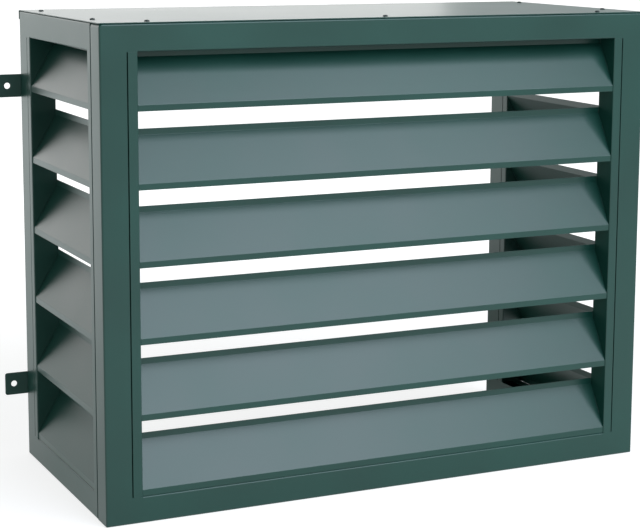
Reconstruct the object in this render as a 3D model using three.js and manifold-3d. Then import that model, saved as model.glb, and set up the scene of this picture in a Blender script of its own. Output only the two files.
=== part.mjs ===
// Louvred cover for the outdoor unit of an air conditioner: a folded front frame, two side frames,
// three louvre packs, a screwed roof sheet and four wall tabs. Millimetres, +Z up, front towards -Y.
// The origin is on the ground, under the middle of the whole cover.
import * as THREE from "three";
import { mergeVertices } from "three/addons/utils/BufferGeometryUtils.js";
import Module from "manifold-3d";

const wasm = await Module();
wasm.setup();

// Overall size of the box, without the wall tabs
const bodyWidth = 1000;
const bodyDepth = 450;
const bodyHeight = 800;

// Sheet thicknesses
const frameSheet = 2;
const roofSheet = 1.5;
const carrierSheet = 1.5;
const slatSheet = 1.5;
const endPlateSheet = 3;
const tabSheet = 3;

// Folded members of the frames
const memberFace = 44;
const frontReturn = 45;
const sideReturn = 45;
const innerLeg = 44;
const windowLip = 20;
const foldRadius = 1.2;
const topCorner = 6;
const bottomCorner = 2;
const sideSeam = 0.9;
const weldRoot = 1;

// Louvre packs
const slit = 1.8;
const carrierFlange = 16;
const carrierDepth = 45;
const carrierFold = 0.3;
const slatCount = 6;
const slatHeight = 92;
const slatLip = 10;
const slatFold = 1;
const slatSetback = 1.5;
const slatEndGap = 0.1;
const slatBottomGap = 0.2;
const slatTopGap = 0.4;
const slatTabWidth = 30;
const slatTabRelief = 0.1;
const slatTabProud = 1.2;
const slatTabRoot = 6;
const slotClearance = 0.3;

// Roof sheet and its screws
const roofGap = 0.1;
const roofFlange = 16;
const roofScrewInset = 22;
const roofScrewFromSide = 85;
const roofScrewFromFront = 100;
const roofScrewFromRear = 64;
const screwShank = 4.2;
const screwLength = 14;
const screwPoint = 3;
const screwHead = 8.6;
const screwHeadHeight = 2.8;
const screwSocket = 3;
const screwSocketDepth = 1.4;
const screwClearance = 0.4;

// Bolts between the side frames and the front frame
const boltShank = 6;
const boltClearance = 0.6;
const boltAcrossFlats = 10;
const boltHeadHeight = 4;
const boltProud = 2;
const nutHeight = 5;
const nutClearance = 0.2;
const endPlateWidth = 42;
const endPlateInset = 1.5;

// Wall tabs
const tabReach = 40;
const tabLap = 36;
const tabHeight = 40;
const tabCorner = 4;
const tabHole = 11;
const tabHoleFromEnd = 16;
const tabFromEnd = 132;

// Facets and cuts
const foldSteps = 3;
const cornerSteps = 4;
const roundSteps = 16;
const domeSteps = 3;
const hexagon = 6;
const overrun = 1;

// Levels and planes that several pieces share
const frameHeight = bodyHeight - roofSheet - roofGap;
const windowBottom = memberFace;
const windowTop = frameHeight - memberFace;
const windowHeight = windowTop - windowBottom;
const frontPlane = -bodyDepth / 2;
const rearPlane = bodyDepth / 2;
const sidePlane = bodyWidth / 2;
const seamPlane = frontPlane + frontReturn;
const sideFront = seamPlane + sideSeam;
const sideRear = rearPlane - tabSheet;
const sideWindowRear = sideRear - memberFace;
const frontOpening = bodyWidth - 2 * (memberFace + slit + carrierFlange);
const sideOpeningFront = sideFront + carrierFlange;
const sideOpeningRear = sideWindowRear - slit - carrierFlange;
const sideOpening = sideOpeningRear - sideOpeningFront;
const lipOuter = foldRadius + frameSheet;
const sideOpeningMiddle = (sideOpeningRear + sideOpeningFront) / 2;
const boltFromSide = sideReturn / 2;
const slatPitch = (windowHeight - slatHeight - slatBottomGap - slatTopGap) / (slatCount - 1);

function paint(color, roughness, metalness) {
  return new THREE.MeshStandardMaterial({ color, roughness, metalness });
}

function frontPaint() {
  return paint(0x39574f, 0.35, 0.1);
}

function slatPaint() {
  return paint(0x3b5a52, 0.32, 0.1);
}

function roofPaint() {
  return paint(0x3d5b54, 0.3, 0.1);
}

function darkSteel() {
  return paint(0x23302d, 0.4, 0.6);
}

function zincSteel() {
  return paint(0x8c9094, 0.35, 0.9);
}

// A closed geometry as a solid that can be joined and cut
function solidOf(geometry) {
  const bare = geometry.clone();
  bare.deleteAttribute("normal");
  bare.deleteAttribute("uv");
  const merged = mergeVertices(bare);
  return new wasm.Manifold(
    new wasm.Mesh({
      numProp: 3,
      vertProperties: merged.getAttribute("position").array,
      triVerts: new Uint32Array(merged.index.array),
    }),
  );
}

function meshOf(name, solid, material) {
  const made = solid.getMesh();
  const points = new Float32Array(made.numVert * 3);
  for (let i = 0; i < made.numVert; i++) {
    const from = i * made.numProp;
    points.set(made.vertProperties.subarray(from, from + 3), i * 3);
  }
  const geometry = new THREE.BufferGeometry();
  geometry.setAttribute("position", new THREE.BufferAttribute(points, 3));
  geometry.setIndex(new THREE.BufferAttribute(new Uint32Array(made.triVerts), 1));
  geometry.computeVertexNormals();
  const mesh = new THREE.Mesh(geometry, material);
  mesh.name = name;
  return mesh;
}

// Outline of a folded sheet. The path is one face of it, and the sheet lies to the left of the path.
function foldedOutline(path, sheet, insideRadius) {
  const near = [];
  const far = [];
  path.forEach((point, i) => {
    const before = point.clone().sub(path[Math.max(i - 1, 0)]).normalize();
    const after = path[Math.min(i + 1, path.length - 1)].clone().sub(point).normalize();
    const run = i === 0 ? after : before;
    const left = new THREE.Vector2(-run.y, run.x);
    if (i === 0 || i === path.length - 1) {
      near.push(point.clone());
      far.push(point.clone().addScaledVector(left, sheet));
      return;
    }
    const turn = Math.atan2(before.cross(after), before.dot(after));
    const hand = Math.sign(turn);
    const nearRadius = insideRadius + (hand > 0 ? sheet : 0);
    const farRadius = nearRadius - hand * sheet;
    const centre = point.clone().addScaledVector(run, -nearRadius * Math.tan(Math.abs(turn) / 2));
    centre.addScaledVector(left, hand * nearRadius);
    for (let k = 0; k <= foldSteps; k++) {
      const spoke = left.clone().multiplyScalar(-hand);
      spoke.rotateAround(new THREE.Vector2(), (turn * k) / foldSteps);
      near.push(centre.clone().addScaledVector(spoke, nearRadius));
      far.push(centre.clone().addScaledVector(spoke, farRadius));
    }
  });
  return [...near, ...far.reverse()];
}

function points2(pairs) {
  return pairs.map(([x, y]) => new THREE.Vector2(x, y));
}

function extruded(outline, depth) {
  return new THREE.ExtrudeGeometry(new THREE.Shape(outline), { depth, bevelEnabled: false });
}

// Turns an extrusion so that its own x, y and z run along the three given axes
function turned(geometry, alongX, alongY, alongZ) {
  return geometry.applyMatrix4(new THREE.Matrix4().makeBasis(alongX, alongY, alongZ));
}

const axisX = new THREE.Vector3(1, 0, 0);
const axisY = new THREE.Vector3(0, 1, 0);
const axisZ = new THREE.Vector3(0, 0, 1);

function cut(solid, tools) {
  return tools.reduce((left, tool) => left.subtract(tool), solid);
}

function boxSolid(low, high) {
  const size = high.clone().sub(low);
  const box = new THREE.BoxGeometry(size.x, size.y, size.z);
  box.translate((low.x + high.x) / 2, (low.y + high.y) / 2, (low.z + high.z) / 2);
  return solidOf(box);
}

// A rod along +Z that starts at the given point
function rodSolid(radius, from, length) {
  const rod = new THREE.CylinderGeometry(radius, radius, length, roundSteps);
  rod.rotateX(Math.PI / 2);
  rod.translate(from.x, from.y, from.z + length / 2);
  return solidOf(rod);
}

// A rod along +Y that starts at the given point
function rodAlongY(radius, from, length, sides = roundSteps) {
  const rod = new THREE.CylinderGeometry(radius, radius, length, sides);
  rod.translate(from.x, from.y + length / 2, from.z);
  return solidOf(rod);
}

// Carries an outline round a row of stations. A station maps an outline point to space, and a face
// with two corners in one place is left out.
function swept(outline, stations, closed) {
  const points = stations.flatMap((station) => outline.map(station));
  const count = outline.length;
  const faces = [];
  const rows = closed ? stations.length : stations.length - 1;
  for (let row = 0; row < rows; row++) {
    const next = (row + 1) % stations.length;
    for (let i = 0; i < count; i++) {
      const j = (i + 1) % count;
      const a = row * count + i;
      const b = row * count + j;
      const c = next * count + j;
      const d = next * count + i;
      faces.push([a, b, c], [a, c, d]);
    }
  }
  if (!closed) {
    const last = (stations.length - 1) * count;
    THREE.ShapeUtils.triangulateShape(outline, []).forEach(([a, b, c]) => {
      faces.push([c, b, a], [last + a, last + b, last + c]);
    });
  }
  const solid = (a, b) => points[a].distanceToSquared(points[b]) > 0;
  const kept = faces.filter(([a, b, c]) => solid(a, b) && solid(b, c) && solid(c, a));
  const geometry = new THREE.BufferGeometry();
  const flat = kept.flat().flatMap((i) => points[i].toArray());
  geometry.setAttribute("position", new THREE.Float32BufferAttribute(flat, 3));
  return solidOf(geometry);
}

// Section of a frame member, from the window's edge outwards and back: face, return and inner leg
function memberSection(returnDepth) {
  const path = points2([
    [0, 0],
    [memberFace, 0],
    [memberFace, returnDepth],
    [memberFace - innerLeg, returnDepth],
  ]);
  return foldedOutline(path, frameSheet, foldRadius);
}

// The lips folded inwards along the two rails of a window, between the carriers. Each comes with
// the strip of flat face that its fold takes the place of.
function windowLips(opening) {
  const length = opening - 2 * slatEndGap;
  const edges = [
    { edge: windowBottom, up: 1 },
    { edge: windowTop, up: -1 },
  ];
  return edges.map(({ edge, up }) => {
    const fold = edge - up * lipOuter;
    const path = points2([
      [0, fold - up * weldRoot],
      [0, edge],
      [windowLip, edge],
    ]);
    const outline = foldedOutline(up > 0 ? path.reverse() : path, frameSheet, foldRadius);
    const lip = turned(extruded(outline, length), axisY, axisZ, axisX).translate(-length / 2, 0, 0);
    const low = new THREE.Vector3(-length / 2, -overrun, Math.min(edge, fold));
    const high = new THREE.Vector3(length / 2, frameSheet + overrun, Math.max(edge, fold));
    return { lip: solidOf(lip), flat: boxSolid(low, high) };
  });
}

// Puts the lips of a window on a frame
function addLips(frame, place) {
  const spot = placePack(new THREE.Object3D(), place).matrix.clone();
  spot.setPosition(place.x, place.y, 0);
  return windowLips(place.opening).reduce(
    (solid, { lip, flat }) =>
      solid.subtract(flat.transform(spot.elements)).add(lip.transform(spot.elements)),
    frame,
  );
}

// Front frame: a closed ring with rounded outer corners
function frontFrame(pack) {
  const corners = [
    [1, 1, topCorner],
    [-1, 1, topCorner],
    [-1, -1, bottomCorner],
    [1, -1, bottomCorner],
  ];
  const middle = (windowBottom + windowTop) / 2;
  const stations = corners.flatMap(([sx, sz, radius], quarter) =>
    Array.from({ length: cornerSteps + 1 }, (_, k) => ({ x: outward, y: inward }) => {
      const angle = ((quarter + k / cornerSteps) * Math.PI) / 2;
      const straight = Math.min(outward, memberFace - radius);
      const round = outward - straight;
      return new THREE.Vector3(
        sx * (sidePlane - memberFace + straight) + round * Math.cos(angle),
        frontPlane + inward,
        middle + sz * (windowHeight / 2 + straight) + round * Math.sin(angle),
      );
    }),
  );
  const ring = swept(memberSection(frontReturn), stations, true);
  const bolts = boltPlaces().map((place) => boltHole(place, seamPlane - frameSheet, frameSheet));
  const screws = roofScrewPlaces().filter(({ y }) => y < seamPlane);
  const holes = [...bolts, ...screws.map(roofScrewHole)];
  return meshOf("front_frame", cut(addLips(ring, pack), holes), frontPaint());
}

// Where the side frames are bolted to the posts of the front frame
function boltPlaces() {
  const x = sidePlane - boltFromSide;
  const levels = { lower: windowBottom / 2, upper: windowTop + memberFace / 2 };
  return Object.entries(levels).flatMap(([level, z]) => [
    { name: `left_${level}`, x: -x, z },
    { name: `right_${level}`, x, z },
  ]);
}

// Where the roof is screwed to the frames below it
function roofScrewPlaces() {
  const y = frontPlane + roofScrewInset;
  const x = sidePlane - roofScrewInset;
  const front = [-sidePlane + roofScrewFromSide, 0, sidePlane - roofScrewFromSide];
  const sides = [frontPlane + roofScrewFromFront, rearPlane - roofScrewFromRear];
  return [
    ...front.map((at, i) => ({ name: `roof_screw_front_${i + 1}`, x: at, y })),
    ...sides.map((at, i) => ({ name: `roof_screw_left_${i + 1}`, x: -x, y: at })),
    ...sides.map((at, i) => ({ name: `roof_screw_right_${i + 1}`, x, y: at })),
  ];
}

function roofScrewHole({ x, y }) {
  const radius = (screwShank + screwClearance) / 2;
  const from = new THREE.Vector3(x, y, frameHeight - frameSheet - overrun);
  return rodSolid(radius, from, frameSheet + roofGap + roofSheet + 2 * overrun);
}

function boltHole({ x, z }, y, through) {
  const from = new THREE.Vector3(x, y - overrun, z);
  return rodAlongY((boltShank + boltClearance) / 2, from, through + 2 * overrun);
}

// Side frame: a top rail, a rear stile and a bottom rail in one folded run, with an end plate on
// each rail. Hand is -1 on the left and 1 on the right.
function sideFrame(name, hand, pack) {
  const corners = [
    ({ x: out, y: inward }) => [inward, sideFront, windowTop + out],
    ({ x: out, y: inward }) => [inward, sideWindowRear + out, windowTop + out],
    ({ x: out, y: inward }) => [inward, sideWindowRear + out, windowBottom - out],
    ({ x: out, y: inward }) => [inward, sideFront, windowBottom - out],
  ];
  const stations = corners.map((corner) => (point) => {
    const [inward, y, z] = corner(point);
    return new THREE.Vector3(hand * (sidePlane - inward), y, z);
  });
  if (hand > 0) stations.reverse();
  const run = swept(memberSection(sideReturn), stations, false)
    .add(endPlate(hand, windowTop, frameHeight - weldRoot))
    .add(endPlate(hand, weldRoot, windowBottom));
  const onThisSide = ({ x }) => Math.sign(x) === hand;
  const bolts = boltPlaces().filter(onThisSide);
  const screws = roofScrewPlaces().filter(({ x, y }) => onThisSide({ x }) && y > seamPlane);
  const holes = [
    ...bolts.map((place) => boltHole(place, seamPlane, endPlateSheet)),
    ...screws.map(roofScrewHole),
  ];
  return meshOf(name, cut(addLips(run, pack), holes), frontPaint());
}

// The plate that closes the front end of a rail and takes a bolt
function endPlate(hand, bottom, top) {
  const outer = hand * (sidePlane - endPlateInset);
  const inner = hand * (sidePlane - endPlateInset - endPlateWidth);
  const low = new THREE.Vector3(Math.min(outer, inner), seamPlane, bottom);
  const high = new THREE.Vector3(Math.max(outer, inner), seamPlane + endPlateSheet, top);
  return boxSolid(low, high);
}

// Outer face of a slat, across its length: rear lip, blade and front lip
function slatPath() {
  const rear = carrierDepth - slatSheet;
  return points2([
    [rear, slatHeight],
    [rear, slatHeight - slatLip],
    [slatSetback, slatLip],
    [slatSetback, 0],
  ]);
}

// The middle of the blade and its slope, which the tabs and the slots share
function bladeMiddle() {
  const [, top, bottom] = slatPath();
  const along = top.clone().sub(bottom).normalize();
  const inside = new THREE.Vector2(along.y, -along.x);
  const middle = top.clone().add(bottom).multiplyScalar(1 / 2).addScaledVector(inside, slatSheet / 2);
  return { middle, slope: along.angle() };
}

// A flat key through the middle of the blade, from one place along the slat to another
function bladeKey(from, to, width, sheet, lift) {
  const { middle, slope } = bladeMiddle();
  const key = new THREE.BoxGeometry(to - from, width, sheet);
  key.rotateX(slope);
  key.translate((from + to) / 2, middle.x, middle.y + lift);
  return solidOf(key);
}

function slatSolid(length) {
  const outline = foldedOutline(slatPath(), slatSheet, slatFold);
  const blank = turned(extruded(outline, length), axisY, axisZ, axisX).translate(-length / 2, 0, 0);
  const reach = length / 2 + slatEndGap + carrierSheet + slatTabProud;
  const root = length / 2 - slatTabRoot;
  const sheet = slatSheet - 2 * slatTabRelief;
  return solidOf(blank)
    .add(bladeKey(root, reach, slatTabWidth, sheet, 0))
    .add(bladeKey(-reach, -root, slatTabWidth, sheet, 0));
}

// A carrier channel, slotted for the slats. Hand is -1 at the local -X end of a pack and 1 at the
// other.
function carrierSolid(opening, hand) {
  const inner = opening / 2;
  const outer = inner + carrierFlange;
  const path = points2([
    [-outer, 0],
    [-inner, 0],
    [-inner, carrierDepth],
    [-outer, carrierDepth],
  ]);
  const mirrored = points2(path.map(({ x, y }) => [-x, y])).reverse();
  const outline = foldedOutline(hand < 0 ? path : mirrored, carrierSheet, carrierFold);
  const nearWeb = hand * (inner - overrun);
  const farWeb = hand * (inner + carrierSheet + overrun);
  const from = Math.min(nearWeb, farWeb);
  const to = Math.max(nearWeb, farWeb);
  const width = slatTabWidth + 2 * slotClearance;
  const sheet = slatSheet - 2 * slatTabRelief + 2 * slotClearance;
  const slots = Array.from({ length: slatCount }, (_, i) =>
    bladeKey(from, to, width, sheet, slatLevel(i)),
  );
  return cut(solidOf(extruded(outline, windowHeight)), slots);
}

// Height of a slat's lower edge above the bottom of the window
function slatLevel(i) {
  return slatBottomGap + i * slatPitch;
}

// A pack stands in its window: local X along the window, local Y inwards from the face. The two
// ends are named in the order of local X.
function packPlaces() {
  const y = sideOpeningMiddle;
  return [
    { name: "front", opening: frontOpening, ends: ["left", "right"], x: 0, y: frontPlane, turn: 0 },
    { name: "left", opening: sideOpening, ends: ["rear", "front"], x: -sidePlane, y, turn: -1 },
    { name: "right", opening: sideOpening, ends: ["front", "rear"], x: sidePlane, y, turn: 1 },
  ];
}

function placePack(object, { x, y, turn }) {
  object.position.set(x, y, windowBottom);
  object.rotation.z = (turn * Math.PI) / 2;
  object.updateMatrix();
  return object;
}

function louvrePack(place) {
  const { name, opening, ends } = place;
  const pack = placePack(new THREE.Group(), place);
  ends.forEach((end, i) => {
    const carrier = carrierSolid(opening, i === 0 ? -1 : 1);
    pack.add(meshOf(`${name}_louvre_carrier_${end}`, carrier, frontPaint()));
  });
  const slat = slatSolid(opening - 2 * slatEndGap);
  for (let i = 0; i < slatCount; i++) {
    const mesh = meshOf(`${name}_slat_${i + 1}`, slat, slatPaint());
    mesh.position.z = slatLevel(i);
    pack.add(mesh);
  }
  return pack;
}

// Roof sheet with its rear edge folded down
function roof() {
  const outline = foldedOutline(
    points2([
      [rearPlane, bodyHeight - roofFlange],
      [rearPlane, bodyHeight],
      [frontPlane, bodyHeight],
    ]),
    roofSheet,
    foldRadius,
  );
  const blank = turned(extruded(outline, bodyWidth), axisY, axisZ, axisX).translate(-sidePlane, 0, 0);
  const holes = roofScrewPlaces().map(roofScrewHole);
  return meshOf("roof_sheet", cut(solidOf(blank), holes), roofPaint());
}

// Pan-head screw with a six-sided socket, its head seated at height zero
function roofScrewSolid() {
  const shank = screwShank / 2;
  const head = screwHead / 2;
  const profile = [
    [0, -screwLength],
    [shank, screwPoint - screwLength],
    [shank, 0],
    [head, 0],
  ];
  for (let k = 0; k <= domeSteps; k++) {
    const angle = (k / domeSteps) * (Math.PI / 2);
    const rim = screwHeadHeight / 2;
    profile.push([head - rim * (1 - Math.cos(angle)), rim + rim * Math.sin(angle)]);
  }
  profile.push([0, screwHeadHeight]);
  const turnedRod = new THREE.LatheGeometry(points2(profile), roundSteps);
  turnedRod.rotateX(Math.PI / 2);
  const socket = new THREE.CylinderGeometry(screwSocket / 2, screwSocket / 2, 2 * screwSocketDepth, hexagon);
  socket.rotateX(Math.PI / 2);
  socket.translate(0, 0, screwHeadHeight);
  return solidOf(turnedRod).subtract(solidOf(socket));
}

function roofScrews() {
  const screws = new THREE.Group();
  const solid = roofScrewSolid();
  roofScrewPlaces().forEach(({ name, x, y }) => {
    const mesh = meshOf(name, solid, darkSteel());
    mesh.position.set(x, y, bodyHeight);
    screws.add(mesh);
  });
  return screws;
}

// Hexagon bolts from inside the box, with their nuts in the posts
function frameBolts() {
  const bolts = new THREE.Group();
  const across = boltAcrossFlats / Math.sqrt(3);
  const plate = seamPlane + endPlateSheet;
  const flange = seamPlane - frameSheet;
  boltPlaces().forEach(({ name, x, z }) => {
    const shankFrom = new THREE.Vector3(x, flange - nutHeight - boltProud, z);
    const shank = rodAlongY(boltShank / 2, shankFrom, plate - shankFrom.y + overrun);
    const head = rodAlongY(across, new THREE.Vector3(x, plate, z), boltHeadHeight, hexagon);
    bolts.add(meshOf(`frame_bolt_${name}`, shank.add(head), zincSteel()));
    const nutFrom = new THREE.Vector3(x, flange - nutHeight, z);
    const nut = rodAlongY(across, nutFrom, nutHeight, hexagon);
    const boreFrom = new THREE.Vector3(x, flange - nutHeight - overrun, z);
    const bore = rodAlongY(boltShank / 2 + nutClearance, boreFrom, nutHeight + 2 * overrun);
    bolts.add(meshOf(`frame_nut_${name}`, nut.subtract(bore), zincSteel()));
  });
  return bolts;
}

// Wall tab: a plate behind the rear return of a side frame, with a rounded end and one hole
function wallTab(name, hand, level) {
  const inner = sidePlane - tabLap;
  const outer = sidePlane + tabReach;
  const bottom = level - tabHeight / 2;
  const top = level + tabHeight / 2;
  const shape = new THREE.Shape();
  shape.moveTo(inner + tabCorner, bottom);
  shape.lineTo(outer - tabCorner, bottom);
  shape.absarc(outer - tabCorner, bottom + tabCorner, tabCorner, -Math.PI / 2, 0);
  shape.absarc(outer - tabCorner, top - tabCorner, tabCorner, 0, Math.PI / 2);
  shape.absarc(inner + tabCorner, top - tabCorner, tabCorner, Math.PI / 2, Math.PI);
  shape.absarc(inner + tabCorner, bottom + tabCorner, tabCorner, Math.PI, (3 * Math.PI) / 2);
  const plate = new THREE.ExtrudeGeometry(shape, {
    depth: tabSheet,
    bevelEnabled: false,
    curveSegments: cornerSteps,
  });
  turned(plate, axisX, axisZ, axisY.clone().negate()).translate(0, rearPlane, 0);
  const holeFrom = new THREE.Vector3(outer - tabHoleFromEnd, sideRear - overrun, level);
  const drilled = solidOf(plate).subtract(rodAlongY(tabHole / 2, holeFrom, tabSheet + 2 * overrun));
  return meshOf(name, hand > 0 ? drilled : drilled.mirror([1, 0, 0]), frontPaint());
}

function wallTabs() {
  const tabs = new THREE.Group();
  const levels = { lower: tabFromEnd, upper: bodyHeight - tabFromEnd };
  Object.entries(levels).forEach(([level, z]) => {
    tabs.add(wallTab(`wall_tab_left_${level}`, -1, z));
    tabs.add(wallTab(`wall_tab_right_${level}`, 1, z));
  });
  return tabs;
}

const group = new THREE.Group();
const [frontPack, leftPack, rightPack] = packPlaces();
group.add(frontFrame(frontPack));
group.add(sideFrame("left_side_frame", -1, leftPack));
group.add(sideFrame("right_side_frame", 1, rightPack));
group.add(...packPlaces().map(louvrePack));
group.add(roof());
group.add(roofScrews());
group.add(frameBolts());
group.add(wallTabs());

export default group;
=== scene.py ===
import bpy, math
from mathutils import Matrix, Vector


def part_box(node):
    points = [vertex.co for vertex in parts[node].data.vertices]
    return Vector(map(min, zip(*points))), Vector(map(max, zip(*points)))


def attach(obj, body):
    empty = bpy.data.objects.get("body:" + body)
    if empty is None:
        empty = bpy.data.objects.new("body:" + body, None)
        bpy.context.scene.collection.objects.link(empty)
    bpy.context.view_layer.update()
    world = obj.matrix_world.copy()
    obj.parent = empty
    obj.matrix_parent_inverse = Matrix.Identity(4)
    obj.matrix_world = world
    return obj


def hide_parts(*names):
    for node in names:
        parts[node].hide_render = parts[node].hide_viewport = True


# Louvred cover for an outdoor air conditioner unit, in a pale studio.

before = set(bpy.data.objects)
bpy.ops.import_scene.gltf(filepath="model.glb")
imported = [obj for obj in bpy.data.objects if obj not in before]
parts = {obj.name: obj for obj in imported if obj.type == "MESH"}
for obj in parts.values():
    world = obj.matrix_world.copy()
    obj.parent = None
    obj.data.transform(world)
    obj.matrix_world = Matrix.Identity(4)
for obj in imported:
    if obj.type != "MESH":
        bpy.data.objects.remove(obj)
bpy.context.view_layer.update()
scene = bpy.context.scene
scene.view_settings.view_transform = "Standard"
bpy.ops.object.select_all(action="DESELECT")
print("frame loaded:", len(parts), "nodes")

# the view that the photograph shows
cameraView = {
    "place": (-1.3418, -2.8243, 0.9508),
    "azimuth": 25.034,  # turned from +Y towards +X
    "elevation": 8.9015,  # looking down
    "roll": 0.2116,
    "lens": 100.04,
    "sensor": 36.0,
    "shiftX": 0.0,
    "shiftY": -0.1,
}


def addCamera(look):
    azimuth = math.radians(look["azimuth"])
    elevation = math.radians(look["elevation"])
    roll = math.radians(look["roll"])
    ahead = Vector((
        math.sin(azimuth) * math.cos(elevation),
        math.cos(azimuth) * math.cos(elevation),
        -math.sin(elevation),
    ))
    level = Vector((math.cos(azimuth), -math.sin(azimuth), 0))
    upright = level.cross(ahead)
    right = level * math.cos(roll) + upright * math.sin(roll)
    up = right.cross(ahead)
    turn = Matrix((right, up, -ahead)).transposed()
    data = bpy.data.cameras.new("photoCamera")
    data.sensor_width = look["sensor"]
    data.lens = look["lens"]
    data.shift_x = look["shiftX"]
    data.shift_y = look["shiftY"]
    camera = bpy.data.objects.new("photoCamera", data)
    camera.matrix_world = Matrix.Translation(look["place"]) @ turn.to_4x4()
    scene.collection.objects.link(camera)
    scene.camera = camera


addCamera(cameraView)
print("camera placed")

# studio: a pale floor, a white surrounding that darkens overhead, and two soft lamps
studio = {
    "floorSize": 60.0,
    "floorDrop": 0.0005,  # below the object, so that the two faces don't meet
    "floorColour": (0.42, 0.42, 0.42, 1),
    "floorRoughness": 0.9,
    # light of the floor that the camera sees, by distance from the middle
    "floorLiftSeen": [(0.9, 0.78), (2.6, 1.0)],
    # light of the floor that the coat mirrors, along Y
    "floorLiftMirrored": [
        (-14.0, 0.36),
        (-6.0, 0.55),
        (-0.6, 0.78),
        (-0.25, 0.66),
        (0.2, 0.6),
        (0.6, 0.8),
        (2.0, 1.05),
        (5.0, 1.45),
    ],
    # what is left of it in the object's own shade
    "shadeBehind": {"place": (0.2, 0.95, 0), "core": 0.5, "edge": 0.95, "keep": 0.25},
    # light of the surrounding, by the height of the direction
    "surround": [(-0.05, 0.5), (0.02, 1.08), (0.2, 0.93), (0.42, 0.48), (0.9, 0.25)],
    "surroundLight": 0.87,
    "tint": (0.94, 1.0, 1.0),  # of the surrounding, and of the floor where it is mirrored
    "frontLamp": {
        "place": (1.2, -3.3, 2.93),
        "aim": (0.1, -0.1, 0.3),
        "size": (3.4, 2.8),
        "power": 173.0,
        "colour": (0.79, 0.865, 1.0),
    },
    "backLamp": {
        "place": (-0.2, 3.4, 1.3),
        "aim": (0.0, 0.0, 0.9),
        "size": (4.8, 1.2),
        "power": 22.4,
        "colour": (1.0, 0.965, 0.955),
    },
}


def addLamp(name, look):
    data = bpy.data.lights.new(name, "AREA")
    data.shape = "RECTANGLE"
    data.size, data.size_y = look["size"]
    data.energy = look["power"]
    data.color = look["colour"]
    lamp = bpy.data.objects.new(name, data)
    lamp.location = look["place"]
    ahead = Vector(look["aim"]) - Vector(look["place"])
    lamp.rotation_euler = ahead.to_track_quat("-Z", "Y").to_euler()
    lamp.visible_camera = False
    scene.collection.objects.link(lamp)


def newMaterial(name):
    material = bpy.data.materials.new(name)
    material.use_nodes = True
    return material, material.node_tree, material.node_tree.nodes["Principled BSDF"]


def computed(tree, operation, *values):
    result = tree.nodes.new("ShaderNodeMath")
    result.operation = operation
    for value, socket in zip(values, result.inputs):
        tree.links.new(value, socket)
    return result.outputs[0]


def rescaled(tree, value, before, after=(0, 1), curve="LINEAR"):
    scale = tree.nodes.new("ShaderNodeMapRange")
    scale.interpolation_type = curve
    scale.inputs["From Min"].default_value, scale.inputs["From Max"].default_value = before
    scale.inputs["To Min"].default_value, scale.inputs["To Max"].default_value = after
    tree.links.new(value, scale.inputs["Value"])
    return scale.outputs["Result"]


def fromPlace(tree, where, place=(0, 0, 0)):
    distance = tree.nodes.new("ShaderNodeVectorMath")
    distance.operation = "DISTANCE"
    distance.inputs[1].default_value = place
    tree.links.new(where.outputs["Object"], distance.inputs[0])
    return distance.outputs["Value"]


# light by place between the first stop and the last
def lightRamp(tree, value, stops, tint=(1, 1, 1)):
    ramp = tree.nodes.new("ShaderNodeValToRGB")
    while len(ramp.color_ramp.elements) < len(stops):
        ramp.color_ramp.elements.new(0.5)
    for element, (place, light) in zip(ramp.color_ramp.elements, stops):
        element.position = place
        element.color = (*[light * c for c in tint], 1)
    tree.links.new(value, ramp.inputs["Fac"])
    return ramp.outputs["Color"]


def addSurround(look):
    world = bpy.data.worlds.new("studioWorld")
    scene.world = world
    world.use_nodes = True
    tree = world.node_tree
    tree.nodes.clear()
    out = tree.nodes.new("ShaderNodeOutputWorld")
    path = tree.nodes.new("ShaderNodeLightPath")
    where = tree.nodes.new("ShaderNodeTexCoord")
    height = tree.nodes.new("ShaderNodeSeparateXYZ")
    light = tree.nodes.new("ShaderNodeBackground")
    white = tree.nodes.new("ShaderNodeBackground")
    mix = tree.nodes.new("ShaderNodeMixShader")
    light.inputs["Strength"].default_value = look["surroundLight"]
    white.inputs["Color"].default_value = (1, 1, 1, 1)
    stops = [((z + 1) / 2, amount) for z, amount in look["surround"]]
    tree.links.new(where.outputs["Generated"], height.inputs[0])
    level = rescaled(tree, height.outputs["Z"], (-1, 1))
    tree.links.new(lightRamp(tree, level, stops, look["tint"]), light.inputs["Color"])
    seen = computed(tree, "MAXIMUM", path.outputs["Is Camera Ray"], path.outputs["Is Transmission Ray"])
    tree.links.new(seen, mix.inputs[0])
    tree.links.new(light.outputs[0], mix.inputs[1])
    tree.links.new(white.outputs[0], mix.inputs[2])
    tree.links.new(mix.outputs[0], out.inputs["Surface"])


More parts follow.
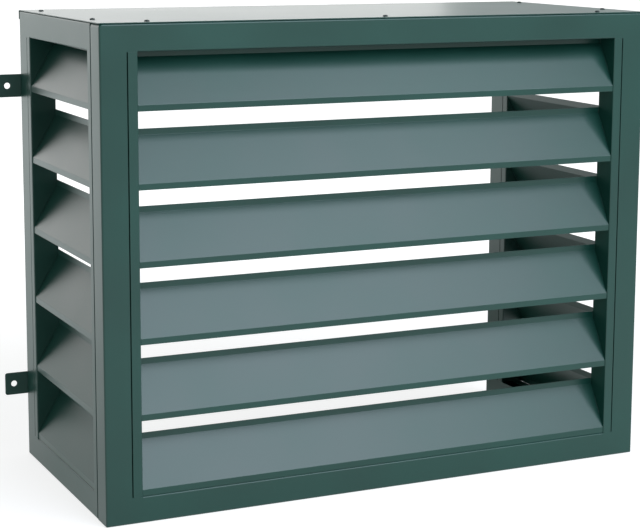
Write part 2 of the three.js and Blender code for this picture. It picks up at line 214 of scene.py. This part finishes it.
def addFloor(look):
    bpy.ops.mesh.primitive_plane_add(size=look["floorSize"], location=(0, 0, -look["floorDrop"]))
    floor = bpy.context.object
    floor.name = "studioFloor"
    material, tree, shader = newMaterial("studioFloor")
    shader.inputs["Base Color"].default_value = look["floorColour"]
    shader.inputs["Roughness"].default_value = look["floorRoughness"]
    shader.inputs["Specular IOR Level"].default_value = 0.0
    path = tree.nodes.new("ShaderNodeLightPath")
    where = tree.nodes.new("ShaderNodeTexCoord")
    hue = tree.nodes.new("ShaderNodeMix")
    hue.data_type = "RGBA"
    hue.inputs["A"].default_value = (*look["tint"], 1)
    hue.inputs["B"].default_value = (1, 1, 1, 1)
    tree.links.new(path.outputs["Is Camera Ray"], hue.inputs["Factor"])
    tree.links.new(hue.outputs["Result"], shader.inputs["Emission Color"])

    stops = look["floorLiftMirrored"]
    first, last = stops[0][0], stops[-1][0]
    along = tree.nodes.new("ShaderNodeSeparateXYZ")
    tree.links.new(where.outputs["Object"], along.inputs[0])
    share = rescaled(tree, along.outputs["Y"], (first, last))
    mirrored = lightRamp(tree, share, [((y - first) / (last - first), amount) for y, amount in stops])
    shade = look["shadeBehind"]
    offset = fromPlace(tree, where, shade["place"])
    dim = rescaled(tree, offset, (shade["core"], shade["edge"]), (shade["keep"], 1), "SMOOTHSTEP")
    shaded = computed(tree, "MULTIPLY", mirrored, dim)

    (near, nearLight), (far, farLight) = look["floorLiftSeen"]
    fade = rescaled(tree, fromPlace(tree, where), (near, far), (nearLight, farLight), "SMOOTHSTEP")
    seen = computed(tree, "MULTIPLY", path.outputs["Is Camera Ray"], fade)
    lift = computed(tree, "MULTIPLY_ADD", path.outputs["Is Glossy Ray"], shaded, seen)
    tree.links.new(lift, shader.inputs["Emission Strength"])
    floor.data.materials.append(material)


addSurround(studio)
addFloor(studio)
addLamp("frontLamp", studio["frontLamp"])
addLamp("backLamp", studio["backLamp"])
print("studio ready")

# powder coat on folded sheet: fine orange peel, slow drift of colour and gloss
frameCoat = {
    "colour": (0.007, 0.056, 0.042),
    "drift": 0.12,
    "driftScale": 5.0,
    "driftDetail": 4.0,
    "driftFrom": 0.3,
    "driftTo": 0.7,
    "roughness": 0.34,
    "roughnessDrift": 0.06,
    "shine": 0.5,
    "peel": 0.12,
    "peelScale": 650.0,
    "peelDetail": 2.0,
    "peelDepth": 0.0003,
}
slatCoat = {**frameCoat, "roughness": 0.32}
roofCoat = {**frameCoat, "roughness": 0.3, "roughnessDrift": 0.02}
# painted light: the wall tabs sit in shadow, and a rougher coat with more shine than the frame's lifts
# them brighter; the weld beads share it
tabLitCoat = {**frameCoat, "roughness": 0.6, "shine": 0.8}
# painted shade: a duller, less reflective coat on the front carriers' webs darkens them as if in the
# shade inside the cover
webShadeCoat = {**frameCoat, "roughness": 0.75, "shine": 0.15}
screwSteel = {
    "colour": (0.02, 0.03, 0.028),
    "roughness": 0.35,
    "metal": 0.0,
    "grainScale": 420.0,
    "grainDark": 0.8,
    "grainLight": 1.15,
}
zincSteel = {**screwSteel, "colour": (0.55, 0.56, 0.58), "roughness": 0.38, "metal": 1.0}


def twoTones(tree, value, colour, dark, light):
    ramp = tree.nodes.new("ShaderNodeValToRGB")
    ramp.color_ramp.elements[0].color = (*[c * dark for c in colour], 1)
    ramp.color_ramp.elements[1].color = (*[c * light for c in colour], 1)
    tree.links.new(value, ramp.inputs["Fac"])
    return ramp


def powderCoat(name, look):
    material, tree, shader = newMaterial(name)
    where = tree.nodes.new("ShaderNodeTexCoord")
    drift = tree.nodes.new("ShaderNodeTexNoise")
    drift.inputs["Scale"].default_value = look["driftScale"]
    drift.inputs["Detail"].default_value = look["driftDetail"]
    tree.links.new(where.outputs["Object"], drift.inputs["Vector"])
    tones = twoTones(tree, drift.outputs["Fac"], look["colour"], 1 - look["drift"], 1 + look["drift"])
    tones.color_ramp.elements[0].position = look["driftFrom"]
    tones.color_ramp.elements[1].position = look["driftTo"]
    tree.links.new(tones.outputs["Color"], shader.inputs["Base Color"])
    roughness = (look["roughness"] - look["roughnessDrift"], look["roughness"] + look["roughnessDrift"])
    gloss = rescaled(tree, drift.outputs["Fac"], (0, 1), roughness)
    tree.links.new(gloss, shader.inputs["Roughness"])
    shader.inputs["Specular IOR Level"].default_value = look["shine"]
    peel = tree.nodes.new("ShaderNodeTexNoise")
    peel.inputs["Scale"].default_value = look["peelScale"]
    peel.inputs["Detail"].default_value = look["peelDetail"]
    tree.links.new(where.outputs["Object"], peel.inputs["Vector"])
    bump = tree.nodes.new("ShaderNodeBump")
    bump.inputs["Strength"].default_value = look["peel"]
    bump.inputs["Distance"].default_value = look["peelDepth"]
    tree.links.new(peel.outputs["Fac"], bump.inputs["Height"])
    tree.links.new(bump.outputs["Normal"], shader.inputs["Normal"])
    return material


def plainSteel(name, look):
    material, tree, shader = newMaterial(name)
    where = tree.nodes.new("ShaderNodeTexCoord")
    grain = tree.nodes.new("ShaderNodeTexNoise")
    grain.inputs["Scale"].default_value = look["grainScale"]
    tree.links.new(where.outputs["Object"], grain.inputs["Vector"])
    tones = twoTones(tree, grain.outputs["Fac"], look["colour"], look["grainDark"], look["grainLight"])
    tree.links.new(tones.outputs["Color"], shader.inputs["Base Color"])
    shader.inputs["Roughness"].default_value = look["roughness"]
    shader.inputs["Metallic"].default_value = look["metal"]
    return material


framePaint = powderCoat("framePaint", frameCoat)
slatPaint = powderCoat("slatPaint", slatCoat)
roofPaint = powderCoat("roofPaint", roofCoat)
tabLitPaint = powderCoat("tabLitPaint", tabLitCoat)
webShadePaint = powderCoat("webShadePaint", webShadeCoat)
screwFinish = plainSteel("screwFinish", screwSteel)
zincFinish = plainSteel("zincFinish", zincSteel)
print("finishes mixed")


def onlySelect(piece):
    bpy.ops.object.select_all(action="DESELECT")
    piece.select_set(True)
    bpy.context.view_layer.objects.active = piece


def applied(piece, kind, **settings):
    modifier = piece.modifiers.new(kind.lower(), kind)
    for setting, value in settings.items():
        setattr(modifier, setting, value)
    bpy.ops.object.modifier_apply(modifier=modifier.name)


def settle(piece, material, node):
    piece.data.materials.clear()
    piece.data.materials.append(material)
    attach(piece, "root")
    if node:
        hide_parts(node)
    return piece


# sheet metal as it comes from the paint line: folds run smooth and cut edges are slightly rounded
sheetEdges = {
    "weld": 0.00001,  # points closer than this are one
    "flat": math.radians(0.5),
    "cutEdge": math.radians(55),  # folds turn less than this at a time
    "across": 0.9,  # a face turned this far towards the side is a front carrier's web, which gets the painted shade
    "steps": 2,
    "frameEdge": 0.0003,
    "carrierEdge": 0.00025,
    "slatEdge": 0.00025,
    "roofEdge": 0.0004,
    "tabEdge": 0.0006,
}


def softened(node, edge):
    piece = parts[node].copy()
    piece.data = parts[node].data.copy()
    piece.name = node + "_coated"
    piece.parent = None
    scene.collection.objects.link(piece)
    onlySelect(piece)
    bpy.ops.object.mode_set(mode="EDIT")
    bpy.ops.mesh.select_all(action="SELECT")
    bpy.ops.mesh.remove_doubles(threshold=sheetEdges["weld"])
    bpy.ops.mesh.dissolve_limited(angle_limit=sheetEdges["flat"])
    bpy.ops.object.mode_set(mode="OBJECT")
    applied(piece, "BEVEL", width=edge, segments=sheetEdges["steps"], limit_method="ANGLE",
            angle_limit=sheetEdges["cutEdge"], use_clamp_overlap=False)
    bpy.ops.object.shade_smooth_by_angle(angle=sheetEdges["cutEdge"])
    applied(piece, "WEIGHTED_NORMAL", keep_sharp=True)
    return piece


def copied(piece, name, away):
    other = piece.copy()
    other.data = piece.data.copy()
    other.name = name
    other.data.transform(Matrix.Translation(away))
    scene.collection.objects.link(other)
    return other


# the front carriers' webs take the duller coat, which paints the shade inside the cover
def shadeWebs(carrier):
    carrier.data.materials.append(webShadePaint)
    for face in carrier.data.polygons:
        if abs(face.normal.x) > sheetEdges["across"]:
            face.material_index = 1


for node in parts:
    if node.endswith("_frame"):
        settle(softened(node, sheetEdges["frameEdge"]), framePaint, node)
    elif "_carrier_" in node:
        carrier = settle(softened(node, sheetEdges["carrierEdge"]), framePaint, node)
        if node.startswith("front"):
            shadeWebs(carrier)
    elif node == "roof_sheet":
        settle(softened(node, sheetEdges["roofEdge"]), roofPaint, node)
    elif node.startswith("wall_tab"):
        settle(softened(node, sheetEdges["tabEdge"]), tabLitPaint, node)
    elif node.startswith(("frame_bolt", "frame_nut")):
        parts[node].data.materials.clear()
        parts[node].data.materials.append(zincFinish)
print("frames, carriers, roof and tabs coated")

for side in ("front", "left", "right"):
    lowest = f"{side}_slat_1"
    slat = softened(lowest, sheetEdges["slatEdge"])
    settle(slat, slatPaint, lowest)
    for node in parts:
        if node.startswith(f"{side}_slat_") and node != lowest:
            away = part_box(node)[0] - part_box(lowest)[0]
            settle(copied(slat, node + "_coated", away), slatPaint, node)
print("slats coated")

# roof screws: low domed heads with a six-sided socket
roofScrew = {
    "sides": 32,
    "head": 0.0023,
    "rim": 0.0007,  # upright part of the head
    "domeSteps": 5,
    "domeTurn": math.radians(60),
    "socketSides": 6,
    "socketAcross": 0.003,  # between two flats
    "socketDeep": 0.0013,
    "shank": 0.0021,
    "softEdge": 0.00015,
    "softSteps": 2,
    "cutEdge": math.radians(50),
    "level": 0.9,  # a face this level counts as the top or the underside
}


def selectWhere(piece, kind, test):
    bpy.ops.object.mode_set(mode="EDIT")
    bpy.ops.mesh.select_mode(type=kind)
    bpy.ops.mesh.select_all(action="DESELECT")
    bpy.ops.object.mode_set(mode="OBJECT")
    found = {"VERT": piece.data.vertices, "EDGE": piece.data.edges, "FACE": piece.data.polygons}
    for element in found[kind]:
        element.select = test(element)
    bpy.ops.object.mode_set(mode="EDIT")


def domedScrew(look, low, high, seat):
    radius = (high.x - low.x) / 2
    middle = (low + high) / 2
    bpy.ops.object.select_all(action="DESELECT")
    bpy.ops.mesh.primitive_cylinder_add(vertices=look["sides"], radius=radius, depth=look["rim"],
                                        location=(middle.x, middle.y, seat + look["rim"] / 2))
    screw = bpy.context.object
    bpy.ops.object.transform_apply(location=True, rotation=False, scale=False)
    selectWhere(screw, "FACE", lambda face: face.normal.z > look["level"])
    dome = (look["head"] - look["rim"]) / math.sin(look["domeTurn"])
    turns = [look["domeTurn"] * step / look["domeSteps"] for step in range(look["domeSteps"] + 1)]
    for before, turn in zip(turns, turns[1:]):
        rise = dome * (math.sin(turn) - math.sin(before))
        spread = math.cos(turn) / math.cos(before)
        bpy.ops.mesh.extrude_region_move(TRANSFORM_OT_translate={"value": (0, 0, rise)})
        bpy.ops.transform.resize(value=(spread, spread, 1), center_override=(middle.x, middle.y, seat))
    selectWhere(screw, "FACE", lambda face: face.normal.z < -look["level"])
    bpy.ops.mesh.inset(thickness=radius - look["shank"])
    bpy.ops.mesh.extrude_region_move(TRANSFORM_OT_translate={"value": (0, 0, low.z - seat)})
    bpy.ops.object.mode_set(mode="OBJECT")
    bpy.ops.object.select_all(action="DESELECT")
    toCorner = look["socketAcross"] / math.sqrt(3)
    bpy.ops.mesh.primitive_cylinder_add(vertices=look["socketSides"], radius=toCorner,
                                        depth=2 * look["socketDeep"],
                                        location=(middle.x, middle.y, seat + look["head"]))
    key = bpy.context.object
    onlySelect(screw)
    applied(screw, "BOOLEAN", operation="DIFFERENCE", object=key, solver="EXACT")
    bpy.data.objects.remove(key)
    onlySelect(screw)
    applied(screw, "BEVEL", width=look["softEdge"], segments=look["softSteps"], limit_method="ANGLE",
            angle_limit=look["cutEdge"])
    bpy.ops.object.shade_smooth_by_angle(angle=look["cutEdge"])
    return screw


screwNodes = sorted(node for node in parts if node.startswith("roof_screw"))
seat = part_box("roof_sheet")[1].z
firstLow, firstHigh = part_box(screwNodes[0])
screw = domedScrew(roofScrew, firstLow, firstHigh, seat)
screw.name = screwNodes[0] + "_domed"
settle(screw, screwFinish, screwNodes[0])
for node in screwNodes[1:]:
    settle(copied(screw, node + "_domed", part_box(node)[0] - firstLow), screwFinish, node)
print("roof screws set")

# weld beads that hold each wall tab behind its stile
weldBead = {
    "leg": 0.0022,
    "sides": 12,
    "ripple": 0.0016,  # one wave along the bead
    "swell": 1.16,
    "tip": 0.6,  # the ends draw in
    "smooth": math.radians(70),
    "fromCorner": 0.006,
    "level": 0.022,  # length of the two that lie along the tab's edges
}


def rippledBead(look, length):
    rings = 2 * max(2, round(length / look["ripple"]))
    step = length / rings
    bpy.ops.object.select_all(action="DESELECT")
    bpy.ops.mesh.primitive_cylinder_add(vertices=look["sides"], radius=look["leg"], depth=length)
    bead = bpy.context.object

    def lengthwise(edge):
        a, b = (bead.data.vertices[v].co for v in edge.vertices)
        return abs(a.z - b.z) > length / 2

    selectWhere(bead, "EDGE", lengthwise)
    bpy.ops.mesh.subdivide(number_cuts=rings - 1)
    selectWhere(bead, "VERT", lambda spot: round((spot.co.z + length / 2) / step) % 2 == 1)
    bpy.ops.transform.resize(value=(look["swell"], look["swell"], 1), center_override=(0, 0, 0))
    selectWhere(bead, "VERT", lambda spot: abs(spot.co.z) > (length - step) / 2)
    bpy.ops.transform.resize(value=(look["tip"], look["tip"], 1), center_override=(0, 0, 0))
    bpy.ops.object.mode_set(mode="OBJECT")
    bpy.ops.object.shade_smooth_by_angle(angle=look["smooth"])
    return bead


tabNodes = sorted(node for node in parts if node.startswith("wall_tab"))
corner = weldBead["fromCorner"]
low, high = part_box(tabNodes[0])
uprightBead = rippledBead(weldBead, high.z - low.z - 2 * corner)
levelBead = rippledBead(weldBead, weldBead["level"])
levelBead.data.transform(Matrix.Rotation(math.radians(90), 4, "Y"))
for node in tabNodes:
    low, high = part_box(node)
    hand = 1 if low.x > 0 else -1
    inner = low.x if hand > 0 else high.x
    along = inner + hand * (corner + weldBead["level"] / 2)
    beads = {
        "upright": (uprightBead, (inner, low.y, (low.z + high.z) / 2)),
        "over": (levelBead, (along, low.y, high.z)),
        "under": (levelBead, (along, low.y, low.z)),
    }
    for where, (model, middle) in beads.items():
        settle(copied(model, f"{node}_weld_{where}", middle), tabLitPaint, None)
bpy.data.objects.remove(uprightBead)
bpy.data.objects.remove(levelBead)
print("wall tabs welded")
